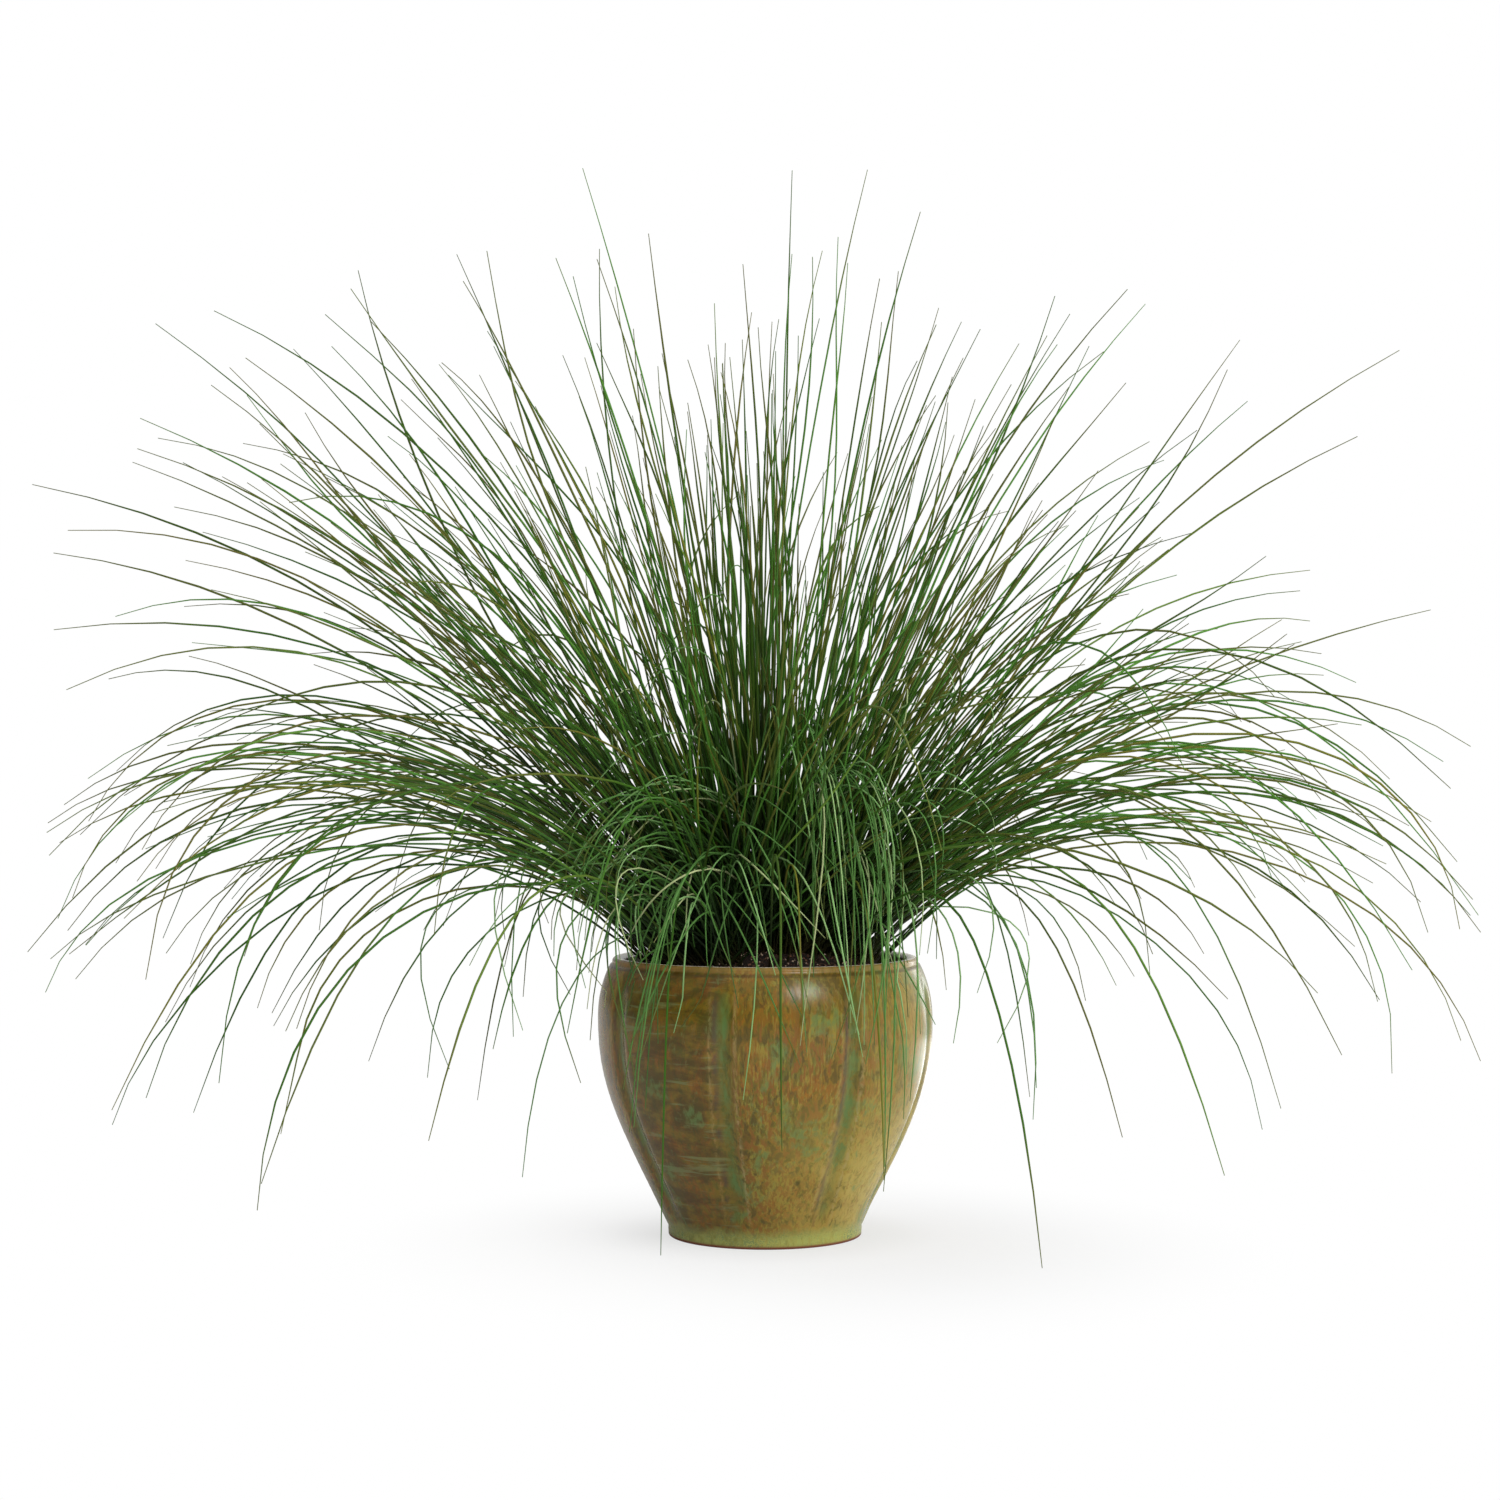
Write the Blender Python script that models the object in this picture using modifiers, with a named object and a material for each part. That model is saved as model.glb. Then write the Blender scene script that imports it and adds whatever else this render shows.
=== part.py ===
"""A soft rush in a lobed glazed pot.

Metres, +Z up. The origin is on the ground at the centre of the pot's foot, and -Y is the front.
An azimuth is in degrees from the front, positive towards +X.
"""

import math

import bpy
from mathutils import Vector

# Pot
POT_HEIGHT = 0.248
POT_BELLY_RADIUS = 0.150
POT_BELLY_HEIGHT = 0.187
POT_NECK_RADIUS = 0.1385
POT_NECK_HEIGHT = 0.2415
POT_LIP_RADIUS = 0.1365
POT_WALL = 0.009
POT_FLOOR = 0.012
POT_COLUMNS = 64
FOOT_RADIUS = 0.0864
FOOT_HEIGHT = 0.009
FOOT_RING_WIDTH = 0.017
FOOT_RECESS = 0.004
DRAIN_RADIUS = 0.011

# Pressed grooves down the pot's outer wall
LOBES = 8
FRONT_GROOVE_AZIMUTH = -14.0
GROOVE_DEPTH = 0.0036
GROOVE_HALF_WIDTH = 0.010
GROOVE_BOTTOM = 0.010
GROOVE_TOP = 0.236

# Potting soil, mounded towards the middle
SOIL_COLUMNS = 32
SOIL_EDGE_RADIUS = 0.1247
SOIL_EDGE_HEIGHT = 0.237
SOIL_MOUND = 0.019

# Stems
STEM_BASE_RADIUS = 0.0014
STEM_TIP_RADIUS = 0.0006
STEM_POINTS = 9
CLUMP_RADIUS = 0.105
CLUMP_EDGE_LEAN = 50.0

# What rests on or fits round a neighbour keeps this gap to it.
GAP = 0.0003

# Each stem: its azimuth, the reach and height of its tip, and those of the point it bends towards.
STEMS = {
    "right": [
        (46, 0.400, 0.800, 0.150, 0.610),
        (118, 0.416, 0.862, 0.157, 0.608),
        (126, 0.600, 0.850, 0.280, 0.510),
        (58, 0.552, 0.681, 0.267, 0.572),
        (116, 0.600, 0.610, 0.260, 0.580),
        (76, 0.596, 0.400, 0.300, 0.700),
        (98, 0.648, 0.329, 0.380, 0.660),
        (94, 0.6516, 0.282, 0.360, 0.720),
        (64, 0.579, 0.255, 0.370, 0.620),
        (58, 0.539, 0.190, 0.340, 0.580),
        (110, 0.527, 0.089, 0.380, 0.560),
        (52, 0.462, 0.094, 0.330, 0.500),
        (46, 0.395, 0.123, 0.290, 0.460),
        (36, 0.370, 0.023, 0.300, 0.460),
    ],
    "left": [
        (-50, 0.414, 0.776, 0.184, 0.595),
        (-126, 0.590, 0.840, 0.262, 0.566),
        (-56, 0.501, 0.745, 0.230, 0.593),
        (-94, 0.569, 0.734, 0.240, 0.600),
        (-108, 0.640, 0.710, 0.260, 0.580),
        (-88, 0.6504, 0.668, 0.300, 0.600),
        (-80, 0.608, 0.621, 0.320, 0.640),
        (-116, 0.640, 0.575, 0.340, 0.600),
        (-70, 0.612, 0.482, 0.340, 0.620),
        (-98, 0.640, 0.354, 0.380, 0.620),
        (-86, 0.650, 0.255, 0.420, 0.560),
        (-62, 0.592, 0.369, 0.350, 0.580),
        (-66, 0.582, 0.140, 0.400, 0.540),
        (-104, 0.554, 0.091, 0.400, 0.520),
        (-53, 0.500, 0.090, 0.350, 0.500),
        (-40, 0.413, 0.126, 0.300, 0.460),
    ],
    "upright": [
        (-120, 0.195, 0.973, 0.060, 0.600),
        (150, 0.050, 0.960, 0.030, 0.600),
        (130, 0.124, 0.968, 0.004, 0.600),
        (40, 0.202, 0.885, 0.066, 0.598),
        (-24, 0.330, 0.820, 0.130, 0.600),
        (-60, 0.208, 0.855, 0.080, 0.580),
        (-130, 0.394, 0.920, 0.190, 0.580),
    ],
    "front": [
        (-26, 0.200, 0.012, 0.190, 0.500),
        (30, 0.197, 0.073, 0.185, 0.460),
        (-30, 0.440, 0.660, 0.200, 0.570),
        (8, 0.215, 0.215, 0.170, 0.440),
        (14, 0.5153, 0.360, 0.300, 0.620),
        (-20, 0.440, 0.220, 0.290, 0.550),
        (2, 0.330, 0.120, 0.280, 0.500),
        (20, 0.380, 0.760, 0.160, 0.600),
        (-48, 0.303, 0.186, 0.240, 0.420),
    ],
    "back": [
        (124, 0.500, 0.420, 0.320, 0.620),
        (138, 0.460, 0.660, 0.220, 0.600),
        (142, 0.440, 0.080, 0.360, 0.500),
        (140, 0.300, 0.850, 0.120, 0.620),
        (176, 0.360, 0.050, 0.310, 0.500),
        (172, 0.440, 0.560, 0.240, 0.640),
        (180, 0.500, 0.360, 0.320, 0.620),
        (190, 0.320, 0.840, 0.130, 0.620),
        (203, 0.500, 0.240, 0.350, 0.580),
        (222, 0.430, 0.080, 0.350, 0.480),
        (216, 0.480, 0.520, 0.260, 0.640),
        (224, 0.560, 0.420, 0.340, 0.600),
    ],
}

# Finishes: colour, roughness
GLAZE = ((0.235, 0.150, 0.050), 0.30)
PEAT = ((0.030, 0.018, 0.011), 0.95)
STEM_GREEN = ((0.065, 0.150, 0.045), 0.50)


def clear_scene():
    for leftover in list(bpy.data.objects):
        bpy.data.objects.remove(leftover)


def make_material(name, finish):
    colour, roughness = finish
    material = bpy.data.materials.new(name)
    material.use_nodes = True
    shader = material.node_tree.nodes["Principled BSDF"]
    shader.inputs["Base Color"].default_value = (*colour, 1.0)
    shader.inputs["Roughness"].default_value = roughness
    shader.inputs["Metallic"].default_value = 0.0
    return material


def bezier(points, share):
    """A point of (reach, height) on the Bezier curve of these control points, of any count."""
    while len(points) > 1:
        points = [tuple(a + (b - a) * share for a, b in zip(p, q)) for p, q in zip(points, points[1:])]
    return points[0]


def wall_curves():
    """The outer wall as two curves of (radius, height): foot to belly, and belly to neck."""
    belly = (POT_BELLY_RADIUS, POT_BELLY_HEIGHT)
    below = [
        (FOOT_RADIUS, FOOT_HEIGHT),
        (FOOT_RADIUS + 0.0375, FOOT_HEIGHT + 0.074),
        (POT_BELLY_RADIUS, POT_BELLY_HEIGHT - 0.060),
        belly,
    ]
    above = [
        belly,
        (POT_BELLY_RADIUS, POT_BELLY_HEIGHT + 0.018),
        (POT_BELLY_RADIUS - 0.0025, POT_BELLY_HEIGHT + 0.037),
        (POT_NECK_RADIUS, POT_NECK_HEIGHT),
    ]
    return below, above


def wall_radius(height):
    """Radius of the wall between its grooves at a height, found on its curves by halving."""
    below, above = wall_curves()
    curve = below if height < POT_BELLY_HEIGHT else above
    low, high = 0.0, 1.0
    for _ in range(24):
        middle = (low + high) / 2.0
        if bezier(curve, middle)[1] < height:
            low = middle
        else:
            high = middle
    return bezier(curve, low)[0]


def outer_wall():
    """Points of the outer wall from the neck down to the top of the foot."""
    below, above = wall_curves()
    upper = [bezier(above, share) for share in (1.0, 0.7, 0.35)]
    lower = [bezier(below, share) for share in (1.0, 0.8, 0.6, 0.4, 0.2, 0.0)]
    return upper + lower


def inner_wall():
    """Points of the inner wall from the floor up to the throat."""
    below, above = wall_curves()
    points = [bezier(below, share) for share in (0.3, 0.65, 1.0)] + [bezier(above, 0.6)]
    return [(radius - POT_WALL, height) for radius, height in points]


def turned_mesh(name, profile, columns, closed):
    """A profile of (radius, height) turned once round +Z with a Screw modifier."""
    edges = [(i, i + 1) for i in range(len(profile) - 1)]
    if closed:
        edges.append((len(profile) - 1, 0))
    outline = bpy.data.meshes.new(name)
    outline.from_pydata([(radius, 0.0, height) for radius, height in profile], edges, [])
    turned = bpy.data.objects.new(name, outline)
    bpy.context.scene.collection.objects.link(turned)
    screw = turned.modifiers.new("turn", "SCREW")
    screw.steps = screw.render_steps = columns
    screw.use_merge_vertices = True
    screw.merge_threshold = 0.00001
    evaluated = turned.evaluated_get(bpy.context.evaluated_depsgraph_get())
    mesh = bpy.data.meshes.new_from_object(evaluated)
    bpy.data.objects.remove(turned)
    return mesh


def place(name, mesh, material, collection, azimuth):
    """Links a turned mesh, with the column that was made at +X turned to an azimuth."""
    mesh.name = name
    mesh.materials.clear()
    mesh.materials.append(material)
    mesh.shade_smooth()
    mesh.set_sharp_from_angle(angle=math.radians(40.0))
    placed = bpy.data.objects.new(name, mesh)
    placed.rotation_euler.z = math.radians(azimuth - 90.0)
    collection.objects.link(placed)


def groove_depth(turn, radius, height):
    """How far the wall is pressed in, by the angle round from a groove's middle."""
    lobe = 2.0 * math.pi / LOBES
    from_groove = (turn + lobe / 2.0) % lobe - lobe / 2.0
    across = from_groove * radius / GROOVE_HALF_WIDTH
    along = (height - GROOVE_BOTTOM) / (GROOVE_TOP - GROOVE_BOTTOM)
    return GROOVE_DEPTH * math.sqrt(math.sin(math.pi * along)) * math.exp(-across * across)


def press_grooves(mesh):
    for vertex in mesh.vertices:
        x, y, height = vertex.co
        radius = math.hypot(x, y)
        outside = radius > wall_radius(height) - POT_WALL / 2.0
        if outside and GROOVE_BOTTOM < height < GROOVE_TOP:
            kept = 1.0 - groove_depth(math.atan2(y, x), radius, height) / radius
            vertex.co = (x * kept, y * kept, height)


def make_pot(material, collection):
    ring_inside = FOOT_RADIUS - FOOT_RING_WIDTH
    lip = [
        (POT_LIP_RADIUS - 0.0060, POT_HEIGHT),
        (POT_LIP_RADIUS - 0.0020, POT_HEIGHT - 0.0005),
        (POT_LIP_RADIUS, POT_HEIGHT - 0.0030),
        (POT_LIP_RADIUS + 0.0002, POT_HEIGHT - 0.0055),
    ]
    foot = [
        (FOOT_RADIUS - 0.0004, 0.0015),
        (FOOT_RADIUS - 0.0016, 0.0),
        (ring_inside, 0.0),
        (ring_inside - 0.0020, FOOT_RECESS),
        (DRAIN_RADIUS, FOOT_RECESS),
        (DRAIN_RADIUS, POT_FLOOR),
    ]
    inside = inner_wall()
    floor_edge = (inside[0][0] - 0.020, POT_FLOOR)
    throat = (POT_LIP_RADIUS - 0.0102, POT_HEIGHT - 0.0030)
    profile = lip + outer_wall() + foot + [floor_edge] + inside + [throat]
    mesh = turned_mesh("pot", profile, POT_COLUMNS, closed=True)
    press_grooves(mesh)
    place("pot", mesh, material, collection, FRONT_GROOVE_AZIMUTH)


def soil_surface(radius):
    """Height of the mounded soil at a radius."""
    return SOIL_EDGE_HEIGHT + SOIL_MOUND * (1.0 - (radius / SOIL_EDGE_RADIUS) ** 2)


def soil_slope(radius):
    """Angle by which the mound falls away at a radius."""
    return math.atan(2.0 * SOIL_MOUND * radius / SOIL_EDGE_RADIUS**2)


def make_soil(material, collection):
    """Fills the pot to under its lip, inside the flats between the pot's columns."""
    inscribed = math.cos(math.pi / POT_COLUMNS)
    sides = [(radius * inscribed - 2.0 * GAP, height) for radius, height in inner_wall()]
    bottom = POT_FLOOR + GAP
    floor_edge = (sides[0][0] - 0.021, bottom)
    rings = [SOIL_EDGE_RADIUS * share for share in (0.0, 0.25, 0.5, 0.75, 0.9, 1.0)]
    mound = [(radius, soil_surface(radius)) for radius in rings]
    profile = mound + sides[::-1] + [floor_edge, (0.0, bottom)]
    mesh = turned_mesh("potting_soil", profile, SOIL_COLUMNS, closed=False)
    place("potting_soil", mesh, material, collection, FRONT_GROOVE_AZIMUTH)


def stem_base(pull_reach, pull_height):
    """Reach and height of a stem's foot, further out the more it leans, with its cap just clear."""
    lean = math.degrees(math.atan2(pull_reach, pull_height - SOIL_EDGE_HEIGHT))
    reach = CLUMP_RADIUS * min(lean / CLUMP_EDGE_LEAN, 1.0)
    height = soil_surface(reach)
    tilt = math.atan2(pull_reach - reach, pull_height - height) - soil_slope(reach)
    lift = GAP + STEM_BASE_RADIUS * abs(math.sin(tilt))
    slope = soil_slope(reach)
    return reach + lift * math.sin(slope), height + lift * math.cos(slope)


def stem_route(azimuth, tip_reach, tip_height, pull_reach, pull_height):
    """Points of a stem, which stays in one upright plane."""
    base = stem_base(pull_reach, pull_height)
    bends = [base, (pull_reach, pull_height), (tip_reach, tip_height)]
    turn = math.radians(azimuth)
    outward = Vector((math.sin(turn), -math.cos(turn), 0.0))
    route = []
    for step in range(STEM_POINTS):
        reach, height = bezier(bends, step / (STEM_POINTS - 1))
        route.append(outward * reach + Vector((0.0, 0.0, height)))
    return route


def make_stem(name, route, material, collection):
    """A round stem that tapers from base to tip."""
    curve = bpy.data.curves.new(name, "CURVE")
    curve.dimensions = "3D"
    curve.bevel_depth = STEM_BASE_RADIUS
    curve.bevel_resolution = 1
    curve.use_fill_caps = True
    curve.materials.append(material)
    spline = curve.splines.new("POLY")
    spline.points.add(len(route) - 1)
    for index, (point, where) in enumerate(zip(spline.points, route)):
        share = index / (len(route) - 1)
        point.co = (*where, 1.0)
        point.radius = 1.0 - share * (1.0 - STEM_TIP_RADIUS / STEM_BASE_RADIUS)
    collection.objects.link(bpy.data.objects.new(name, curve))


def main():
    clear_scene()
    collection = bpy.data.collections.new("potted_soft_rush")
    bpy.context.scene.collection.children.link(collection)
    make_pot(make_material("glaze", GLAZE), collection)
    make_soil(make_material("peat", PEAT), collection)
    stem_green = make_material("stem_green", STEM_GREEN)
    for side, rows in STEMS.items():
        for count, row in enumerate(rows, start=1):
            make_stem(f"stem_{side}_{count:02d}", stem_route(*row), stem_green, collection)


main()
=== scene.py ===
import math

import bpy
import numpy as np
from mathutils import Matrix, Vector, noise


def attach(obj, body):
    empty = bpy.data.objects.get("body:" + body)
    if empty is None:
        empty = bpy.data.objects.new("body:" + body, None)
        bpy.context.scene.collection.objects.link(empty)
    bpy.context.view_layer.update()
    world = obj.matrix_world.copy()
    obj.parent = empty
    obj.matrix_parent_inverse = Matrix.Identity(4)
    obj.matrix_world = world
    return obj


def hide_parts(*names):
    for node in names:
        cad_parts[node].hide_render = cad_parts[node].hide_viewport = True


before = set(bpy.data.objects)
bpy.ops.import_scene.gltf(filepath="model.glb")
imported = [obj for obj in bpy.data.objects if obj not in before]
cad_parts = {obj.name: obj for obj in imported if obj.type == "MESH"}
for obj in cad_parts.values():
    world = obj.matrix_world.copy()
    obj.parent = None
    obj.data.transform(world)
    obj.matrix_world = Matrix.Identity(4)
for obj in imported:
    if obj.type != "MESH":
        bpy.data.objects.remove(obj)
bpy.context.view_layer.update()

draw = np.random.default_rng(41)  # all that is random about the stems comes from here, in this order

# Metres, +Z up, -Y is the front. Azimuths are in degrees from the front, positive towards +X.


def linear(red, green, blue):
    # a screen colour of 0 to 255 as the linear values that shaders take
    shares = [channel / 255.0 for channel in (red, green, blue)]
    return tuple(s / 12.92 if s <= 0.04045 else ((s + 0.055) / 1.055) ** 2.4 for s in shares)


def smooth(value, low, high):
    share = np.clip((value - low) / (high - low), 0.0, 1.0)
    return share * share * (3.0 - 2.0 * share)


def bezier(points, shares):
    # points of a curve with any count of control points, one row for each share
    shares = np.atleast_1d(shares)[:, None]
    rows = [np.asarray(point, dtype=float)[None, :] for point in points]
    while len(rows) > 1:
        rows = [a * (1.0 - shares) + b * shares for a, b in zip(rows, rows[1:])]
    return rows[0]


# Nodes, for shaders and for geometry

def addNode(tree, kind, settings=None, inputs=None):
    made = tree.nodes.new(kind)
    for setting, value in (settings or {}).items():
        setattr(made, setting, value)
    for slot, value in (inputs or {}).items():
        if isinstance(slot, int):
            target = made.inputs[slot]
        else:
            target = next(s for s in made.inputs if s.enabled and slot in (s.identifier, s.name))
        if isinstance(value, Wire):
            value = value.socket
        if isinstance(value, bpy.types.NodeSocket):
            tree.links.new(value, target)
        elif isinstance(value, tuple) and target.type == "RGBA":
            target.default_value = (*value, 1.0)
        else:
            target.default_value = value
    return made


class Wire:
    # wraps a socket, so that maths on its value reads as maths
    def __init__(self, tree, socket):
        self.tree = tree
        self.socket = socket

    def join(self, operation, first, second):
        made = addNode(self.tree, "ShaderNodeMath", {"operation": operation}, {0: first, 1: second})
        return Wire(self.tree, made.outputs[0])

    def __add__(self, other):
        return self.join("ADD", self, other)

    def __radd__(self, other):
        return self.join("ADD", other, self)

    def __sub__(self, other):
        return self.join("SUBTRACT", self, other)

    def __rsub__(self, other):
        return self.join("SUBTRACT", other, self)

    def __mul__(self, other):
        return self.join("MULTIPLY", self, other)

    def __rmul__(self, other):
        return self.join("MULTIPLY", other, self)

    def __pow__(self, other):
        return self.join("POWER", self, other)

    def above(self, low, high):
        # 0 below low, 1 above high, eased between
        values = {"Value": self, "From Min": low, "From Max": high}
        made = addNode(self.tree, "ShaderNodeMapRange", {"interpolation_type": "SMOOTHSTEP"}, values)
        return Wire(self.tree, made.outputs[0])


class Finish:
    # one material and its Principled shader, with the colour that its coats have made so far
    def __init__(self, name, **shaderValues):
        self.material = bpy.data.materials.new(name)
        self.material.use_nodes = True
        self.tree = self.material.node_tree
        self.shader = self.tree.nodes["Principled BSDF"]
        for socketName, value in shaderValues.items():
            self.shader.inputs[socketName.replace("_", " ")].default_value = value

    def node(self, kind, settings=None, inputs=None, output=0):
        made = addNode(self.tree, kind, settings, inputs)
        return Wire(self.tree, made.outputs[output])

    def place(self):
        return self.node("ShaderNodeTexCoord", output="Object")

    def coordinate(self, axis):
        return self.node("ShaderNodeSeparateXYZ", None, {"Vector": self.place()}, axis)

    def distance(self, point):
        values = {0: self.place(), 1: point}
        return self.node("ShaderNodeVectorMath", {"operation": "DISTANCE"}, values, "Value")

    def stretched(self, scale, shift=(0.0, 0.0, 0.0)):
        values = {"Vector": self.place(), "Scale": scale, "Location": shift}
        return self.node("ShaderNodeMapping", None, values)

    def attribute(self, name):
        return self.node("ShaderNodeAttribute", {"attribute_name": name}, output="Fac")

    def speckle(self, vector, scale, detail, roughness, distortion=0.0):
        values = {
            "Vector": vector, "Scale": scale, "Detail": detail,
            "Roughness": roughness, "Distortion": distortion,
        }
        return self.node("ShaderNodeTexNoise", None, values)

    def blend(self, share, under, over):
        return self.node("ShaderNodeMix", {"data_type": "RGBA"}, {0: share, 6: under, 7: over}, 2)

    def coat(self, share, over):
        self.colour = self.blend(share, self.colour, over)

    def feed(self, socketName, wire):
        self.tree.links.new(wire.socket, self.shader.inputs[socketName])

    def bump(self, height, strength, distance):
        values = {"Height": height, "Strength": strength, "Distance": distance}
        self.feed("Normal", self.node("ShaderNodeBump", None, values))


def newTree(name, inputs):
    # a Geometry Nodes tree with named inputs, with its input and output nodes
    tree = bpy.data.node_groups.new(name, "GeometryNodeTree")
    tree.interface.new_socket("Geometry", in_out="INPUT", socket_type="NodeSocketGeometry")
    for inputName, kind in inputs.items():
        tree.interface.new_socket(inputName, in_out="INPUT", socket_type="NodeSocket" + kind)
    tree.interface.new_socket("Geometry", in_out="OUTPUT", socket_type="NodeSocketGeometry")
    return tree, tree.nodes.new("NodeGroupInput"), tree.nodes.new("NodeGroupOutput")


def endTree(tree, geometry, material, result):
    # every tree ends alike, with real faces in their material
    smoothed = addNode(tree, "GeometryNodeSetShadeSmooth", None, {"Geometry": geometry, "Shade Smooth": True})
    real = addNode(tree, "GeometryNodeRealizeInstances", None, {"Geometry": smoothed.outputs[0]})
    values = {"Geometry": real.outputs[0], "Material": material}
    dressed = addNode(tree, "GeometryNodeSetMaterial", None, values)
    tree.links.new(dressed.outputs[0], result.inputs[0])


def grow(mesh, tree, values):
    # runs a tree on a mesh with its named inputs set, and returns the plain mesh that it makes
    holder = link("holder", mesh)
    modifier = holder.modifiers.new(tree.name, "NODES")
    modifier.node_group = tree
    for item in tree.interface.items_tree:
        if item.in_out == "INPUT" and item.name in values:
            modifier[item.identifier] = values[item.name]
    bpy.context.view_layer.update()
    grown = bpy.data.meshes.new_from_object(holder.evaluated_get(bpy.context.evaluated_depsgraph_get()))
    bpy.data.objects.remove(holder)
    return grown


def link(name, mesh):
    made = bpy.data.objects.new(name, mesh)
    bpy.context.scene.collection.objects.link(made)
    return made


def finishPiece(name, mesh, nodes):
    mesh.name = name
    made = link(name, mesh)
    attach(made, "root")
    if nodes:
        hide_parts(*nodes)


def storeValues(mesh, name, values):
    values = np.ascontiguousarray(values, dtype=np.float32).ravel()
    mesh.attributes.new(name, "FLOAT", "POINT").data.foreach_set("value", values)


def readNumbers(items, name, count, kind):
    values = np.empty(count, dtype=kind)
    items.foreach_get(name, values)
    return values


# Camera, floor and light

studio = {
    "cameraPlace": (-0.0134, -2.558, 0.4325),
    "lens": 68.6,
    "sensor": 36.0,
    "floorSize": 60.0,
    "floorColour": (0.24, 0.24, 0.24),
    "floorDim": (0.72, 0.72, 0.72),
    "glowNear": 0.718,
    "glowTilt": 0.10,
    "tiltSpan": (-0.25, 0.25),
    "contactShade": 0.05,
    "contactSpan": (0.085, 0.17),
    "shadeCentre": (0.03, -0.08, 0.0),
    "shadeSpan": (0.10, 0.44),
    "gleamCentre": (0.62, 0.86, 0.0),
    "gleamSpan": (0.2, 0.7),
    "gleamLight": 3.0,
    "frontLight": 0.10,
    "sideLight": 0.42,
    "sideSpan": (-0.9, 0.9),
    "backLight": 0.60,
    "backSpan": (-0.5, 0.8),
    "backLeft": 0.14,
    "topLight": 1.10,
    "topSpan": (0.1, 0.9),
    "aim": (0.0, 0.0, 0.3),
}

# Place, size, power and how gloss mirrors it: the main light, a small one for the highlight under the lip
# and a tall one behind for the gleam down the pot's right side
lamps = {
    "keyLamp": ((1.95, -1.30, 1.70), (1.6, 1.6), 36.0, "no"),
    "glintLamp": ((1.139, -2.055, 1.52), (1.05, 0.58), 19.0, "oval"),
    "stripLamp": ((1.80, 2.38, 0.50), (0.50, 1.0), 6.0, "straight"),
}


def makeCamera():
    lens = bpy.data.cameras.new("camera")
    lens.lens = studio["lens"]
    lens.sensor_width = studio["sensor"]
    camera = link("camera", lens)
    camera.location = studio["cameraPlace"]
    camera.rotation_euler = (math.radians(90.0), 0.0, 0.0)
    bpy.context.scene.camera = camera


def makeLamp(name, place, size, power, mirrored):
    lamp = bpy.data.lights.new(name, "AREA")
    lamp.shape = "ELLIPSE" if mirrored == "oval" else "RECTANGLE"
    lamp.size, lamp.size_y = size
    lamp.energy = power
    holder = link(name, lamp)
    holder.location = place
    holder.rotation_euler = (Vector(studio["aim"]) - Vector(place)).to_track_quat("-Z", "Y").to_euler()
    holder.visible_camera = False
    holder.visible_glossy = mirrored != "no"


def makeWorld():
    # white to the camera; as light it is bright above, behind and on the right, and dim in front
    world = bpy.data.worlds.new("studio")
    world.use_nodes = True
    bpy.context.scene.world = world
    tree = world.node_tree
    around = addNode(tree, "ShaderNodeTexCoord").outputs["Generated"]
    direction = addNode(tree, "ShaderNodeSeparateXYZ", None, {0: around}).outputs
    spans = zip("XYZ", (studio["sideSpan"], studio["backSpan"], studio["topSpan"]))
    side, behind, overhead = (Wire(tree, direction[axis]).above(*span) for axis, span in spans)
    back = behind * (side + studio["backLeft"]) * studio["backLight"]
    level = side * studio["sideLight"] + back + studio["frontLight"]
    light = level * (1.0 - overhead) + overhead * studio["topLight"]
    seen = Wire(tree, addNode(tree, "ShaderNodeLightPath").outputs["Is Camera Ray"])
    strength = seen + (1.0 - seen) * light
    sky = tree.nodes["Background"]
    sky.inputs["Color"].default_value = (1.0, 1.0, 1.0, 1.0)
    tree.links.new(strength.socket, sky.inputs["Strength"])


def makeFloor():
    # the camera sees it fade to white away from the pot, with painted shadow at the pot's foot and to its
    # right;
    # it throws little light back up, but for the patch on the right behind the pot, which glows only in
    # reflections and shines along the pot's right edge
    half = studio["floorSize"] / 2.0
    corners = [(-half, -half, 0.0), (half, -half, 0.0), (half, half, 0.0), (-half, half, 0.0)]
    mesh = bpy.data.meshes.new("floor")
    mesh.from_pydata(corners, [], [(0, 1, 2, 3)])
    paper = Finish("paper", Roughness=0.9, Emission_Strength=studio["gleamLight"], Specular_IOR_Level=0.0)
    black, white = (0.0, 0.0, 0.0), (1.0, 1.0, 1.0)
    seen = paper.node("ShaderNodeLightPath", output="Is Camera Ray")
    near = 1.0 - paper.distance(studio["shadeCentre"]).above(*studio["shadeSpan"])
    right = paper.coordinate("X").above(*studio["tiltSpan"])
    shown = paper.blend(near, black, studio["floorColour"])
    # painted contact shadow round the pot's foot; the glow is also dimmed to the right as painted shade
    paintedContactShadow = (1.0 - paper.distance((0.0, 0.0, 0.0)).above(*studio["contactSpan"])) * studio["contactShade"]
    glow = (1.0 - near * (1.0 - studio["glowNear"] + right * studio["glowTilt"]) - paintedContactShadow) * seen
    paper.feed("Base Color", paper.blend(seen, studio["floorDim"], shown))
    mirrored = paper.node("ShaderNodeLightPath", output="Is Glossy Ray")
    gleam = mirrored * (1.0 - paper.distance(studio["gleamCentre"]).above(*studio["gleamSpan"]))
    glow = glow * (1.0 / studio["gleamLight"]) + gleam
    paper.feed("Emission Color", paper.blend(glow, black, white))
    mesh.materials.append(paper.material)
    link("floor", mesh)


makeCamera()
makeWorld()
makeFloor()
for lampName, lampValues in lamps.items():
    makeLamp(lampName, *lampValues)
bpy.context.scene.view_settings.view_transform = "Standard"
print("studio done")


# Pot

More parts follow.
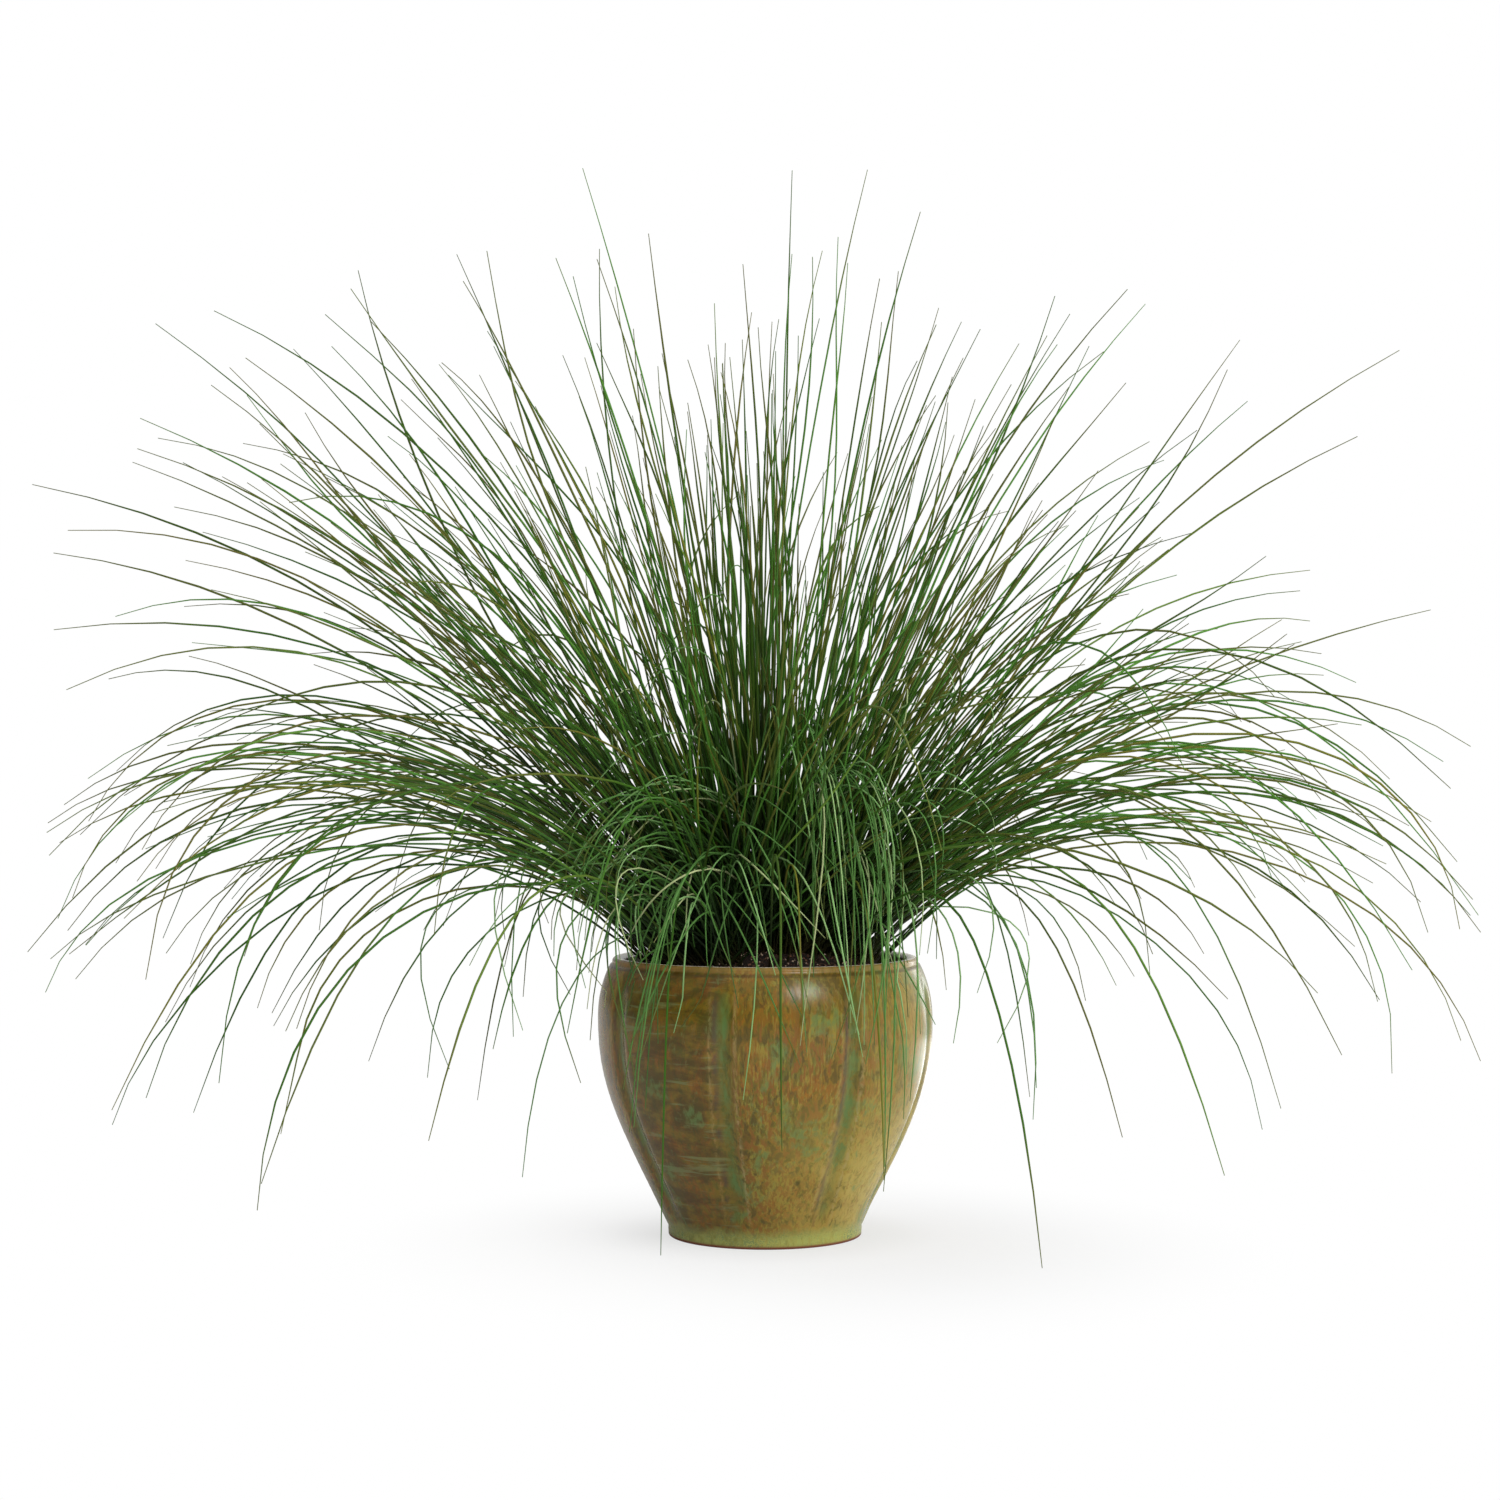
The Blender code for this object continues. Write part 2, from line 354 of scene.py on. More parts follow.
pot = {
    "height": 0.248,
    "bellyRadius": 0.150,
    "bellyHeight": 0.187,
    "neckRadius": 0.1385,
    "neckHeight": 0.2415,
    "lipRadius": 0.1365,
    "wall": 0.009,
    "floor": 0.012,
    "footRadius": 0.0864,
    "footHeight": 0.009,
    "footPull": (0.0375, 0.074),  # how far each curve of the wall is pulled from its end, out and up
    "underBellyPull": (0.0, -0.060),
    "overBellyPull": (0.0, 0.018),
    "neckPull": (-0.0025, 0.037),
    "lipRoll": 0.0034,
    "underLip": ((0.0002, 0.0048), (0.0009, 0.0058)),  # out from the lip, down from the top
    "throat": ((-0.0102, 0.0040), (-0.0096, 0.0020), (-0.0076, 0.0004)),
    "footStep": ((0.0001, 0.0060), (-0.0001, 0.0035)),  # out from the foot, up from the ground
    "footEdge": 0.0016,
    "footFlat": 0.0018,
    "footRing": 0.017,
    "footRecess": 0.004,
    "recessEdge": 0.002,
    "flatEdge": 0.02,
    "drainRadius": 0.011,
    "drainEdge": 0.001,
    "solidColumns": 64,
    "insideFrom": 0.006,
    "clayHeight": 0.0018,
    "lobes": 8,
    "frontGroove": -14.0,
    "grooveDepth": 0.0036,
    "grooveHalfWidth": 0.0088,
    "grooveBottom": 0.010,
    "grooveTop": 0.240,
    "grooveFade": (0.040, 0.030),
    "groovePower": 2.3,
    "throwingRing": 0.00006,
    "ringPitch": (900.0, 1510.0),
    "swell": 0.0005,
    "unevenFrom": (0.010, 0.030),
    "evenFrom": (0.175, 0.215),
    "wipedPanels": (2, 4, 7),
    "wipedEdge": (0.42, 0.58),
    "sharpFrom": 50.0,
    "columns": 512,
}

# Lines along each groove, its pool of glaze, painted shade on one side and painted highlights beside it:
# place across it and width, in half widths, and strength
grooveLines = {
    "pool": [(0.0, 0.72, 1.0)],
    "grooveShade": [(-0.95, 0.26, 1.0)],
    "grooveHighlight": [(1.1, 0.16, 1.0), (-1.45, 0.16, 0.5)],
}

# Screen colours of the glaze
glazeColours = {
    "ochre": (122, 99, 22), "rust": (116, 69, 12), "amber": (154, 101, 20), "sienna": (122, 78, 24),
    "olive": (88, 88, 24), "drab": (84, 72, 28), "straw": (156, 142, 50), "umber": (66, 51, 13),
    "sand": (178, 158, 74), "sage": (116, 124, 76), "verdigris": (88, 118, 62), "moss": (74, 92, 32),
    "shadow": (70, 58, 46), "pale": (160, 142, 90), "lime": (154, 160, 84), "copper": (62, 96, 66),
    "tan": (156, 124, 70), "cream": (254, 248, 230), "ivory": (242, 228, 196), "clay": (112, 62, 42),
}

# Its patterns: the squeeze along x, y and z and the shift, then scale, detail, roughness and distortion
glazePatterns = {
    "drift": ((1.0, 1.0, 1.0), (8.3, 2.2, 6.0), 13.0, 3.0, 0.5, 0.8),
    "clouds": ((1.0, 1.0, 0.7), (0.7, 5.2, 2.0), 40.0, 5.0, 0.62, 1.4),
    "dabs": ((1.0, 1.0, 0.40), (3.1, 1.7, 0.4), 210.0, 5.0, 0.70, 0.8),
    "hairs": ((1.0, 1.0, 0.09), (1.3, 4.1, 7.7), 420.0, 3.0, 0.6, 0.3),
    "bands": ((0.10, 0.10, 1.0), (1.9, 0.3, 4.4), 150.0, 5.0, 0.62, 0.3),
    "wipes": ((0.35, 0.35, 1.0), (4.4, 0.9, 1.2), 80.0, 5.0, 0.65, 0.5),
    "strokes": ((1.0, 1.0, 0.33), (6.1, 3.3, 2.2), 230.0, 2.0, 0.5, 0.6),
    "fine": ((1.0, 1.0, 1.0), (0.0, 0.0, 0.0), 900.0, 2.0, 0.5),
}


def moved(point, step):
    return point[0] + step[0], point[1] + step[1]


def wallCurves():
    # the outer wall as two curves of radius and height: foot to belly, and belly to neck
    foot, belly, neck = ((pot[spot + "Radius"], pot[spot + "Height"]) for spot in ("foot", "belly", "neck"))
    below = [foot, moved(foot, pot["footPull"]), moved(belly, pot["underBellyPull"]), belly]
    above = [belly, moved(belly, pot["overBellyPull"]), moved(belly, pot["neckPull"]), neck]
    return below, above


def wallRadius(height):
    below, above = wallCurves()
    shares = np.linspace(0.0, 1.0, 80)
    points = np.vstack([bezier(below, shares), bezier(above, shares[1:])])
    return np.interp(height, points[:, 1], points[:, 0])


def arc(centre, radius, start, end, count):
    angles = np.radians(np.linspace(start, end, count + 1))
    return [(centre[0] + radius * math.cos(a), centre[1] + radius * math.sin(a)) for a in angles]


def potOutline():
    # the whole section as one loop: lip, outer wall, foot, drain hole, inner floor and inner wall
    below, above = wallCurves()
    top, lip, foot, hole = pot["height"], pot["lipRadius"], pot["footRadius"], pot["drainRadius"]
    recess, floor, flatEdge = pot["footRecess"], pot["floor"], pot["flatEdge"]
    ringInside, ringOutside = foot - pot["footRing"], foot - pot["footFlat"]
    outline = arc((lip - pot["lipRoll"], top - pot["lipRoll"]), pot["lipRoll"], 90.0, 0.0, 8)
    outline += [(lip + out, top - down) for out, down in pot["underLip"]]
    outline += bezier(above, np.linspace(1.0, 0.05, 20)).tolist()
    outline += bezier(below, np.linspace(1.0, 0.0, 54)).tolist()
    outline += [(foot + out, up) for out, up in pot["footStep"]]
    outline += arc((ringOutside, pot["footEdge"]), pot["footEdge"], 0.0, -90.0, 4)
    outline += [(ringInside + share * (ringOutside - ringInside), 0.0) for share in (0.66, 0.33, 0.0)]
    outline += [(ringInside - pot["recessEdge"], recess), (ringInside - flatEdge, recess)]
    outline += [(hole + pot["drainEdge"], recess), (hole, recess + pot["drainEdge"]), (hole, floor)]
    inner = np.vstack([bezier(below, np.linspace(0.3, 1.0, 14)), bezier(above, np.linspace(0.08, 0.8, 10))])
    inner[:, 0] -= pot["wall"]
    outline += [(hole + flatEdge, floor), (inner[0, 0] - flatEdge, floor)] + inner.tolist()
    return np.array(outline + [(lip + out, top - down) for out, down in pot["throat"]])


def ringFaces(rows, columns, closed):
    faces = []
    for row in range(rows if closed else rows - 1):
        low, high = row * columns, (row + 1) % rows * columns
        for column in range(columns):
            beside = (column + 1) % columns
            faces.append((low + column, high + column, high + beside, low + beside))
    return faces


def makeGlaze():
    glaze = Finish("glaze", IOR=1.5, Specular_IOR_Level=0.35)
    hue = {name: linear(*screen) for name, screen in glazeColours.items()}
    drift, clouds, dabs, hairs, bands, wipes, strokes, fine = (
        glaze.speckle(glaze.stretched(squeeze, shift), *rest)
        for squeeze, shift, *rest in glazePatterns.values()
    )
    # the mesh carries where the grooves, the painted shade and highlight lines beside them, the wiped panels
    # and the bare clay are
    pool, grooveShade, grooveHighlight, wipedAndShaded, inside, clay = (
        glaze.attribute(name) for name in ("pool", "grooveShade", "grooveHighlight", "wipedAndShaded", "inside", "clay")
    )
    runs = 1.0 - wipedAndShaded
    height, across = glaze.coordinate("Z"), glaze.coordinate("X")
    low = (1.0 - height.above(0.05, 0.16)) * across.above(-0.02, 0.08) + across.above(0.07, 0.13) * 0.5
    plain = 1.0 - height.above(0.190, 0.222) * 0.6
    # soft patches of ochre, rust and olive, then dabs of each
    glaze.colour = glaze.blend(clouds.above(0.42, 0.62), hue["ochre"], hue["rust"])
    glaze.coat((drift * 0.6 + clouds * 0.4).above(0.45, 0.62) * 0.7, hue["olive"])
    glaze.coat((1.0 - dabs.above(0.40, 0.48)) * 0.8, hue["olive"])
    glaze.coat(dabs.above(0.53, 0.585) * clouds.above(0.36, 0.56) * 0.8, hue["amber"])
    glaze.coat((dabs * 0.6 + clouds * 0.4).above(0.54, 0.60) * 0.7, hue["rust"])
    rusty = (drift.above(0.36, 0.52) * 0.45 + 0.4) * plain
    glaze.coat(strokes.above(0.50, 0.56) * rusty * (runs * 0.7 + 0.3), hue["sienna"])
    glaze.coat((1.0 - strokes.above(0.36, 0.46)) * 0.40 * runs * plain, hue["drab"])
    # runs down most panels, wipes across a few, which are darker: wipe marks, and painted shade for the pot's
    # dim left side
    glaze.coat((hairs * 0.55 + clouds * 0.45).above(0.50, 0.60) * runs * 0.5, hue["straw"])
    glaze.coat((hairs * 0.5 + dabs * 0.5).above(0.54, 0.62) * runs * 0.35, hue["umber"])
    glaze.coat((1.0 - (strokes * 0.5 + clouds * 0.5).above(0.42, 0.48)) * runs * 0.5, hue["umber"])
    glaze.coat(wipedAndShaded * (wipes.above(0.40, 0.60) * 0.55 + 0.15), hue["umber"])
    glaze.coat(bands.above(0.56, 0.66) * wipedAndShaded * 0.6, hue["sage"])
    # paler sand low down right of the middle and up the right side: paler glaze, and painted light from the
    # right
    glaze.coat(low * (drift.above(0.30, 0.50) * 0.40 + dabs.above(0.36, 0.56) * 0.42), hue["sand"])
    # blotches of green copper
    blotch = drift * 0.4 + clouds * 0.35 + dabs * 0.25
    glaze.coat(blotch.above(0.53, 0.61) * (dabs.above(0.40, 0.55) * 0.35 + 0.35), hue["verdigris"])
    # the grooves hold a thicker, greener glaze in patches, with painted shade along one side and thin lines
    # of painted highlight along them
    patches = clouds.above(0.40, 0.58) * 0.45 + dabs.above(0.34, 0.60) * 0.20 + 0.16
    glaze.coat(pool * patches, hue["moss"])
    glaze.coat(pool ** 2.0 * (clouds * 0.6 + dabs * 0.4).above(0.46, 0.58) * 0.55, hue["verdigris"])
    glaze.coat(grooveShade * (clouds.above(0.40, 0.60) * 0.55 + 0.15), hue["shadow"])
    glaze.coat(grooveHighlight * dabs.above(0.38, 0.60) * 0.7, hue["pale"])
    # pale green round the foot with an uneven upper edge
    foot = 1.0 - (height + dabs * 0.016 + clouds * 0.014 - 0.010).above(0.0145, 0.0255)
    glaze.coat(foot * (dabs.above(0.35, 0.60) * 0.4 + 0.45), hue["lime"])
    squiggle = (dabs * 0.5 + fine * 0.5).above(0.50, 0.58) * drift.above(0.40, 0.55)
    glaze.coat(foot * squiggle * 0.75, hue["copper"])
    # a lip where the glaze breaks to tan, which also paints the lip's highlight, over a painted shadow line
    # under the lip, and a cream inside
    line = height.above(0.2388, 0.2402) * (1.0 - height.above(0.2412, 0.2428))
    glaze.coat(line * 0.55, hue["umber"])
    glaze.coat(height.above(0.2422, 0.2440) * (dabs * 0.6 + 0.1), hue["tan"])
    glaze.coat(inside, glaze.blend(clouds.above(0.4, 0.7) * 0.5, hue["cream"], hue["ivory"]))
    glaze.coat(clay, hue["clay"])
    glaze.feed("Base Color", glaze.colour)
    glaze.feed("Roughness", 0.17 + fine * 0.05 + clouds * 0.09 + clay * 0.5)
    relief = (dabs * 0.3 + clouds * 0.8 + hairs * 0.08) * (1.0 - height.above(0.228, 0.243) * 0.85)
    glaze.bump(relief, 0.16, 0.0010)
    return glaze.material


def makePot():
    outline = potOutline()
    columns = pot["columns"]
    azimuth = np.linspace(0.0, 360.0, columns, endpoint=False)[None, :]
    radius = np.repeat(outline[:, :1], columns, axis=1)
    height = np.repeat(outline[:, 1:], columns, axis=1)
    turn = np.radians(azimuth) * np.ones_like(radius)
    outside = radius > wallRadius(height) - pot["wall"] / 2.0
    lobe = 360.0 / pot["lobes"]
    fromGroove = (azimuth - pot["frontGroove"] + lobe / 2.0) % lobe - lobe / 2.0
    across = np.radians(fromGroove) * radius / pot["grooveHalfWidth"]
    low, high = pot["grooveFade"]
    fade = smooth(height, pot["grooveBottom"], pot["grooveBottom"] + low)
    fade = fade * (1.0 - smooth(height, pot["grooveTop"] - high, pot["grooveTop"]))
    pressed = pot["grooveDepth"] * fade * np.exp(-np.abs(across) ** pot["groovePower"])
    # the rings of the wheel, and a slight swell all over
    wide, narrow = pot["ringPitch"]
    rings = np.sin(height * wide + 2.0 * np.sin(turn * 2.0))
    rings = rings + 0.7 * np.sin(height * narrow + 1.3 * np.sin(turn * 3.0))
    uneven = smooth(height, *pot["unevenFrom"]) * (1.0 - smooth(height, *pot["evenFrom"]))
    swell = np.sin(turn * 3.0 + height * 21.0) + 0.6 * np.sin(turn * 5.0 - height * 34.0 + 1.7) - 1.6
    shaped = uneven * (pot["throwingRing"] * (rings - 1.0) + pot["swell"] * swell) - pressed
    radius = radius + np.where(outside, shaped, 0.0)
    places = np.stack([radius * np.sin(turn), -radius * np.cos(turn), height], axis=2).reshape(-1, 3)
    mesh = bpy.data.meshes.new("glazedPot")
    mesh.from_pydata(places.tolist(), [], ringFaces(len(outline), columns, True))
    for name, lines in grooveLines.items():
        line = sum(strength * np.exp(-((across - place) / width) ** 2) for place, width, strength in lines)
        storeValues(mesh, name, fade * line)
    upper = height > pot["insideFrom"]
    storeValues(mesh, "inside", ~outside & upper)
    storeValues(mesh, "clay", (height < pot["clayHeight"]) | (~outside & ~upper))
    # some panels were wiped sideways and are painted darker as shade too; the rest run downwards
    panel = ((azimuth - pot["frontGroove"]) % 360.0) / lobe
    aside = (np.abs(panel - number - 0.5) for number in pot["wipedPanels"])
    wipedAndShaded = sum(1.0 - smooth(way, *pot["wipedEdge"]) for way in aside)
    storeValues(mesh, "wipedAndShaded", wipedAndShaded * np.ones_like(radius))
    mesh.shade_smooth()
    mesh.set_sharp_from_angle(angle=math.radians(pot["sharpFrom"]))
    mesh.materials.append(makeGlaze())
    finishPiece("glazedPot", mesh, ["pot"])


makePot()
print("pot done")


# Potting soil

soil = {
    "edgeRadius": 0.1247,
    "edgeHeight": 0.237,
    "mound": 0.019,
    "columns": 160,
    "rows": 40,
    "lump": 0.0034,
    "lumpScale": 70.0,
    "wallGap": 0.0006,
    "floorGap": 0.0003,
    "bottomInset": 0.021,
    "grainTurns": (6.3, 6.3, 6.3),
    "grainShapes": ((0.35, 0.35, 0.3), (1.3, 1.0, 0.8)),
    "seed": 7,
}

# What is strewn on it: how many grains to a square metre, and their size
strewn = {"barkCrumbs": (30000.0, 0.0021), "perliteGrains": (10000.0, 0.0012)}

# Dark and pale screen colours, and the scale of the grain
earths = {
    "peat": ((20, 12, 8), (92, 60, 42), 900.0),
    "barkCrumbs": ((34, 20, 13), (186, 132, 100), 700.0),
    "perliteGrains": ((200, 174, 148), (248, 242, 230), 700.0),
}


def soilHeight(radius):
    return soil["edgeHeight"] + soil["mound"] * (1.0 - (radius / soil["edgeRadius"]) ** 2)


def soilSlope(radius):
    return math.atan(2.0 * soil["mound"] * radius / soil["edgeRadius"] ** 2)


def makeEarth(name):
    dark, pale, scale = earths[name]
    earth = Finish(name, Roughness=0.92)
    grain = earth.speckle(earth.place(), scale, 5.0, 0.7)
    clods = earth.speckle(earth.place(), scale * 0.35, 2.0, 0.5)
    share = clods.above(0.50, 0.72) * 0.6 + grain.above(0.50, 0.75) * 0.4
    earth.feed("Base Color", earth.blend(share, linear(*dark), linear(*pale)))
    earth.bump(grain + clods, 0.6, 0.0015)
    return earth.material


def grainTree():
    # grains strewn over a surface, each turned and squeezed at random
    kinds = {"Grains per Area": "Float", "Grain Size": "Float", "Seed": "Int", "Material": "Material"}
    tree, given, result = newTree("strewnGrains", kinds)
    seed = given.outputs["Seed"]
    spread = addNode(tree, "GeometryNodeDistributePointsOnFaces", None, {
        "Mesh": given.outputs["Geometry"], "Density": given.outputs["Grains per Area"], "Seed": seed,
    })
    grain = addNode(tree, "GeometryNodeMeshIcoSphere", None, {"Radius": 1.0, "Subdivisions": 1})
    vectors = {"data_type": "FLOAT_VECTOR"}
    turns, shapes = ((0.0, 0.0, 0.0), soil["grainTurns"]), soil["grainShapes"]
    turn, shape = (
        addNode(tree, "FunctionNodeRandomValue", vectors, {"Min": least, "Max": most, "Seed": seed})
        for least, most in (turns, shapes)
    )
    size = addNode(tree, "ShaderNodeVectorMath", {"operation": "SCALE"}, {
        "Vector": shape.outputs[0], "Scale": given.outputs["Grain Size"],
    })
    grains = addNode(tree, "GeometryNodeInstanceOnPoints", None, {
        "Points": spread.outputs[0], "Instance": grain.outputs[0],
        "Rotation": turn.outputs[0], "Scale": size.outputs[0],
    })
    endTree(tree, grains.outputs[0], given.outputs["Material"], result)
    return tree


def makeSoil():
    # the mound from its middle to its edge, then down the pot's inner wall to the floor
    columns, rows, scale = soil["columns"], soil["rows"], soil["lumpScale"]
    below, above = wallCurves()
    rings = soil["edgeRadius"] * np.linspace(0.0, 1.0, rows + 1)[1:]
    side = np.vstack([bezier(above, 0.6), bezier(below, [1.0, 0.65, 0.3])])
    side[:, 0] = (side[:, 0] - pot["wall"]) * math.cos(math.pi / pot["solidColumns"]) - soil["wallGap"]
    bottom = pot["floor"] + soil["floorGap"]
    outline = [(radius, soilHeight(radius)) for radius in rings] + side.tolist()
    outline.append((side[-1, 0] - soil["bottomInset"], bottom))
    places = []
    for row, (radius, height) in enumerate(outline):
        rough = soil["lump"] if row < rows - 1 else 0.0
        for turn in np.linspace(0.0, 2.0 * math.pi, columns, endpoint=False):
            x, y = radius * math.sin(turn), -radius * math.cos(turn)
            lump = noise.fractal(Vector((x * scale, y * scale, 3.0)), 0.8, 2.0, 4) - 0.5
            places.append((x, y, height + rough * lump))
    faces = ringFaces(len(outline), columns, False)
    middle, last = len(places), (len(outline) - 1) * columns
    places += [(0.0, 0.0, soilHeight(0.0)), (0.0, 0.0, bottom)]
    for column in range(columns):
        beside = (column + 1) % columns
        faces += [(middle, column, beside), (middle + 1, last + beside, last + column)]
    mesh = bpy.data.meshes.new("pottingSoil")
    mesh.from_pydata(places, [], faces)
    mesh.shade_smooth()
    mesh.materials.append(makeEarth("peat"))
    finishPiece("pottingSoil", mesh, ["potting_soil"])
    # the grains lie on the open surface only
    reach = columns * (rows - 2)
    surface = bpy.data.meshes.new("soilSurface")
    surface.from_pydata(places[:reach], [], [face for face in faces if max(face) < reach])
    tree = grainTree()
    for count, (name, (density, size)) in enumerate(strewn.items()):
        values = {
            "Grains per Area": density, "Grain Size": size,
            "Seed": soil["seed"] + count, "Material": makeEarth(name),
        }
        finishPiece(name, grow(surface.copy(), tree, values), [])


makeSoil()
print("soil done")


# Stems

stem = {
    "sides": 5,
    "pieces": 14,
    "samples": 61,
    "bendWeight": 0.5,
    "baseRadius": 0.00116,
    "endRadius": 0.00096,
    "tipRadius": 0.00034,
    "tipFrom": 0.78,
    "stoutness": (0.78, 1.08),
    "youngStoutness": 0.74,
    "clumpRadius": 0.105,
    "clumpLean": 50.0,
    "capBase": 0.0014,
    "gap": 0.0003,
    "sunk": 0.002,
    "tuft": 5,
    "bareSoil": (-0.020, 0.085),
    "nextToBare": (-0.035, 0.04),
    "depthShare": 0.77,
    "potClearance": 0.005,
    "tipLift": 0.012,
    "lengths": (0.12, 0.76),
    "steepest": 55.0,
    "mostTilt": 170.0,
    "shorten": 0.94,
    "sideReach": 0.640,
    "depthReach": 0.490,
    "highest": 0.885,
    "lowest": 0.018,
    "leadWaver": 0.0014,
    "leadWaves": 9.0,
    "curlWaver": 0.0045,
    "curlRise": 0.12,
}

# How far stems and tufts differ from one another, with angles in degrees
chance = {
    "golden": 0.618034,  # the share of a turn that spreads tufts evenly, and how far they stray from it
    "order": 0.2,
    "footReach": (0.5, 1.05),
    "tuftTurn": 40.0,
    "footTurn": 12.0,
    "foot": 0.010,
    "azimuth": 14.0,
    "tilt": 6.0,
    "bend": (0.5, 0.34),
    "bendPower": (1.0, 2.2),
    "drift": 20.0,
    "sway": 13.0,
    "waves": (3.0, 9.0),
    "curlWaves": (3.0, 8.0),
    "curlRise": (0.85, 1.15),
    "crest": 0.7,
}

# How a stem's strip lies in its cell of the map: side margin, end margin, the caps and the cells' shape
strip = {"margin": 0.1, "end": 1.8, "capPast": 0.8, "capWidth": 1.6, "capHeight": 0.5, "cellShape": 2.6}

# The farthest-reaching stems: azimuth, the reach and height of the tip, and those of the point it bends to
leadStems = {
    "right": [
        (46, 0.4, 0.8, 0.15, 0.61), (118, 0.416, 0.862, 0.157, 0.608),
        (126, 0.6, 0.85, 0.28, 0.51), (58, 0.552, 0.681, 0.267, 0.572),
        (116, 0.6, 0.61, 0.26, 0.58), (76, 0.596, 0.4, 0.3, 0.7),
        (98, 0.648, 0.329, 0.38, 0.66), (94, 0.6516, 0.282, 0.36, 0.72),
        (64, 0.579, 0.255, 0.37, 0.62), (58, 0.539, 0.19, 0.34, 0.58),
        (110, 0.527, 0.089, 0.38, 0.56), (52, 0.462, 0.094, 0.33, 0.5),
        (46, 0.395, 0.123, 0.29, 0.46), (36, 0.37, 0.023, 0.3, 0.46),
    ],
    "left": [
        (-50, 0.414, 0.776, 0.184, 0.595), (-126, 0.59, 0.84, 0.262, 0.566),
        (-56, 0.501, 0.745, 0.23, 0.593), (-94, 0.569, 0.734, 0.24, 0.6),
        (-108, 0.64, 0.71, 0.26, 0.58), (-88, 0.6504, 0.668, 0.3, 0.6),
        (-80, 0.608, 0.621, 0.32, 0.64), (-116, 0.64, 0.575, 0.34, 0.6),
        (-70, 0.612, 0.482, 0.34, 0.62), (-98, 0.64, 0.354, 0.38, 0.62),
        (-86, 0.65, 0.255, 0.42, 0.56), (-62, 0.592, 0.369, 0.35, 0.58),
        (-66, 0.582, 0.14, 0.4, 0.54), (-104, 0.554, 0.091, 0.4, 0.52),
        (-53, 0.5, 0.09, 0.35, 0.5), (-40, 0.413, 0.126, 0.3, 0.46),
    ],
    "upright": [
        (-120, 0.195, 0.973, 0.06, 0.6), (150, 0.05, 0.96, 0.03, 0.6),
        (130, 0.124, 0.968, 0.004, 0.6), (40, 0.202, 0.885, 0.066, 0.598),
        (-24, 0.33, 0.82, 0.13, 0.6), (-60, 0.208, 0.855, 0.08, 0.58),
        (-130, 0.394, 0.92, 0.19, 0.58),
    ],
    "front": [
        (-26, 0.2, 0.012, 0.19, 0.5), (30, 0.197, 0.073, 0.185, 0.46),
        (-30, 0.44, 0.66, 0.2, 0.57), (8, 0.215, 0.215, 0.17, 0.44),
        (14, 0.5153, 0.36, 0.3, 0.62), (-20, 0.44, 0.22, 0.29, 0.55),
        (2, 0.33, 0.12, 0.28, 0.5), (20, 0.38, 0.76, 0.16, 0.6),
        (-48, 0.303, 0.186, 0.24, 0.42),
    ],
    "back": [
        (124, 0.5, 0.42, 0.32, 0.62), (138, 0.46, 0.66, 0.22, 0.6),
        (142, 0.44, 0.08, 0.36, 0.5), (140, 0.3, 0.85, 0.12, 0.62),
        (176, 0.36, 0.05, 0.31, 0.5), (172, 0.44, 0.56, 0.24, 0.64),
        (180, 0.5, 0.36, 0.32, 0.62), (190, 0.32, 0.84, 0.13, 0.62),
        (203, 0.5, 0.24, 0.35, 0.58), (222, 0.43, 0.08, 0.35, 0.48),
        (216, 0.48, 0.52, 0.26, 0.64), (224, 0.56, 0.42, 0.34, 0.6),
    ],
}

# Between them, in tufts: how many, middle azimuth and half its spread, tilt at the foot from and to,
# how far it bends over from and to, and the usual length and its spread
sprays = {
    "upright": [
        (108, 90, 90, 0, 28, -8, 26, 0.46, 0.11),
        (88, -90, 90, 0, 20, -8, 18, 0.46, 0.11),
        (12, 0, 180, 0, 12, -4, 10, 0.52, 0.07),
        (90, 0, 180, 0, 34, 0, 24, 0.25, 0.04),
    ],
    "right": [
        (100, 90, 50, 21, 44, 6, 42, 0.46, 0.1),
        (5, 86, 40, 40, 54, 80, 112, 0.4, 0.05),
        (35, 88, 46, 42, 52, 38, 86, 0.54, 0.1),
        (36, 86, 40, 46, 56, 58, 102, 0.59, 0.09),
        (55, 90, 60, 30, 50, 0, 30, 0.2, 0.04),
    ],
    "left": [
        (102, -90, 50, 27, 41, 6, 38, 0.54, 0.13),
        (22, -95, 34, 28, 42, 0, 26, 0.57, 0.12),
        (10, -86, 40, 40, 54, 80, 112, 0.41, 0.05),
        (43, -88, 46, 43, 53, 38, 86, 0.55, 0.12),
        (56, -86, 40, 46, 56, 58, 102, 0.6, 0.09),
        (50, -90, 60, 30, 50, 0, 30, 0.2, 0.04),
    ],
    "back": [
        (40, 180, 40, 15, 48, 5, 50, 0.42, 0.08),
        (40, 180, 45, 42, 56, 34, 94, 0.47, 0.1),
    ],
    "front": [
        (40, 0, 42, 8, 40, 5, 50, 0.36, 0.06),
    ],
}

